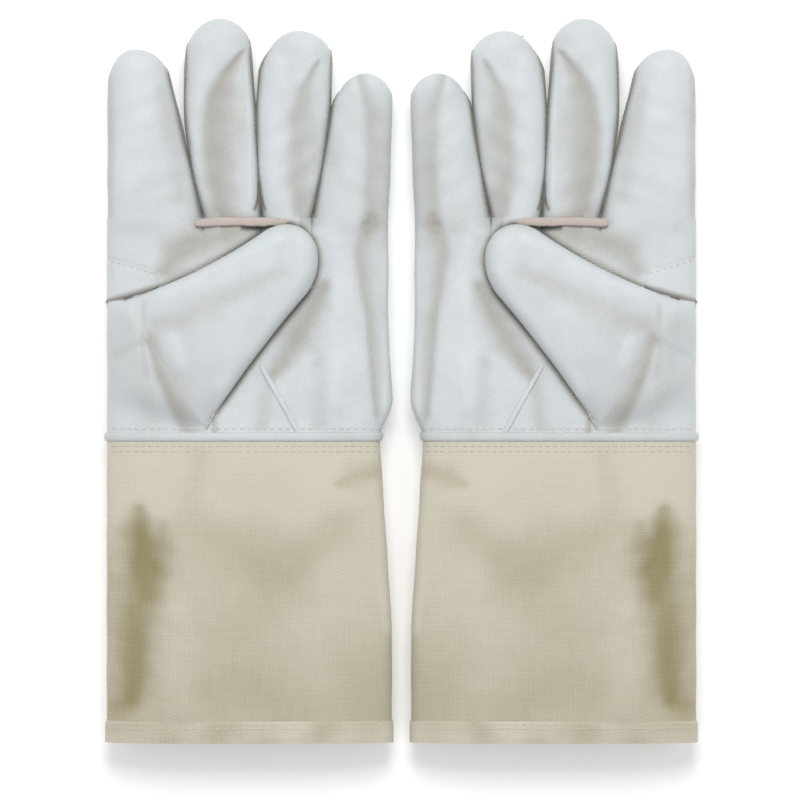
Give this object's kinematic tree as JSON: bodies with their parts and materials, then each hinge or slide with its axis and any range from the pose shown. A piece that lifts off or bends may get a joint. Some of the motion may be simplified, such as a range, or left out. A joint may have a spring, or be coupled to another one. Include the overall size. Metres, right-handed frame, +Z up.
{
  "type": "beekeeping gloves",
  "caption": "Pair of gauntlet work gloves: soft leather hands with folded wing thumbs and open canvas cuffs.",
  "frame": {"origin": "middle of the pair, on the surface that the gloves lie on", "axes": "+Z up out of the palms, +Y towards the fingertips, +X towards the right glove"},
  "size_m": [0.2698, 0.3301, 0.0372],
  "materials": {
    "leather": "soft pale grey-white grain leather, matt with a slight sheen",
    "inner_leather": "pale grey leather of the finger side walls, a little darker",
    "seam_leather": "cream leather welts turned out at the seams",
    "bound_leather": "rolled leather edge at the wrist",
    "canvas": "undyed plain-weave cotton canvas"
  },
  "bodies": {
    "left_hand": {"left_palm_panel": "leather", "left_back_panel": "leather", "left_keystone_patch": "leather", "left_thumb_wing": "leather", "left_palm_welt": "seam_leather", "left_finger_base_welt": "seam_leather", "left_wrist_binding": "bound_leather"},
    "left_index_finger": {"left_index_front": "leather", "left_index_back": "leather", "left_index_fourchette_little_side": "inner_leather"},
    "left_middle_finger": {"left_middle_front": "leather", "left_middle_back": "leather", "left_middle_fourchette_index_side": "inner_leather", "left_middle_fourchette_little_side": "inner_leather"},
    "left_ring_finger": {"left_ring_front": "leather", "left_ring_back": "leather", "left_ring_fourchette_index_side": "inner_leather", "left_ring_fourchette_little_side": "inner_leather"},
    "left_little_finger": {"left_little_front": "leather", "left_little_back": "leather", "left_little_fourchette_index_side": "inner_leather"},
    "left_thumb": {"left_thumb_front": "leather", "left_thumb_back": "leather"},
    "left_gauntlet": {"left_gauntlet_front": "canvas", "left_gauntlet_back": "canvas", "left_gauntlet_hem": "canvas"},
    "right_hand": {"right_palm_panel": "leather", "right_back_panel": "leather", "right_keystone_patch": "leather", "right_thumb_wing": "leather", "right_palm_welt": "seam_leather", "right_finger_base_welt": "seam_leather", "right_wrist_binding": "bound_leather"},
    "right_index_finger": {"right_index_front": "leather", "right_index_back": "leather", "right_index_fourchette_little_side": "inner_leather"},
    "right_middle_finger": {"right_middle_front": "leather", "right_middle_back": "leather", "right_middle_fourchette_index_side": "inner_leather", "right_middle_fourchette_little_side": "inner_leather"},
    "right_ring_finger": {"right_ring_front": "leather", "right_ring_back": "leather", "right_ring_fourchette_index_side": "inner_leather", "right_ring_fourchette_little_side": "inner_leather"},
    "right_little_finger": {"right_little_front": "leather", "right_little_back": "leather", "right_little_fourchette_index_side": "inner_leather"},
    "right_thumb": {"right_thumb_front": "leather", "right_thumb_back": "leather"},
    "right_gauntlet": {"right_gauntlet_front": "canvas", "right_gauntlet_back": "canvas", "right_gauntlet_hem": "canvas"}
  },
  "joints": [
    {"name": "right_glove_lift", "type": "slide", "parent": "left_hand", "child": "right_hand", "axis": [0, 0, 1], "range_m": [0, 0.15]},
    {"name": "left_index_knuckle", "type": "hinge", "parent": "left_hand", "child": "left_index_finger", "pos_m": [-0.1124, 0.07395, 0.02], "axis": [1, 0, 0], "range_deg": [0, 75]},
    {"name": "left_middle_knuckle", "type": "hinge", "parent": "left_hand", "child": "left_middle_finger", "pos_m": [-0.07705, 0.07395, 0.02], "axis": [1, 0, 0], "range_deg": [0, 75]},
    {"name": "left_ring_knuckle", "type": "hinge", "parent": "left_hand", "child": "left_ring_finger", "pos_m": [-0.05225, 0.07395, 0.02], "axis": [1, 0, 0], "range_deg": [0, 75]},
    {"name": "left_little_knuckle", "type": "hinge", "parent": "left_hand", "child": "left_little_finger", "pos_m": [-0.02325, 0.07395, 0.02], "axis": [1, 0, 0], "range_deg": [0, 75]},
    {"name": "left_thumb_root", "type": "hinge", "parent": "left_hand", "child": "left_thumb", "pos_m": [-0.10765, 0.00685, 0.0334], "axis": [0.5416, -0.8406, 0], "range_deg": [0, 100]},
    {"name": "left_wrist_fold", "type": "hinge", "parent": "left_hand", "child": "left_gauntlet", "pos_m": [-0.0721, -0.02805, 0.025], "axis": [-1, 0, 0], "range_deg": [0, 60]},
    {"name": "right_index_knuckle", "type": "hinge", "parent": "right_hand", "child": "right_index_finger", "pos_m": [0.1124, 0.07395, 0.02], "axis": [1, 0, 0], "range_deg": [0, 75]},
    {"name": "right_middle_knuckle", "type": "hinge", "parent": "right_hand", "child": "right_middle_finger", "pos_m": [0.07705, 0.07395, 0.02], "axis": [1, 0, 0], "range_deg": [0, 75]},
    {"name": "right_ring_knuckle", "type": "hinge", "parent": "right_hand", "child": "right_ring_finger", "pos_m": [0.05225, 0.07395, 0.02], "axis": [1, 0, 0], "range_deg": [0, 75]},
    {"name": "right_little_knuckle", "type": "hinge", "parent": "right_hand", "child": "right_little_finger", "pos_m": [0.02325, 0.07395, 0.02], "axis": [1, 0, 0], "range_deg": [0, 75]},
    {"name": "right_thumb_root", "type": "hinge", "parent": "right_hand", "child": "right_thumb", "pos_m": [0.10765, 0.00685, 0.0334], "axis": [0.5416, 0.8406, 0], "range_deg": [0, 100]},
    {"name": "right_wrist_fold", "type": "hinge", "parent": "right_hand", "child": "right_gauntlet", "pos_m": [0.0721, -0.02805, 0.025], "axis": [-1, 0, 0], "range_deg": [0, 60]}
  ]
}
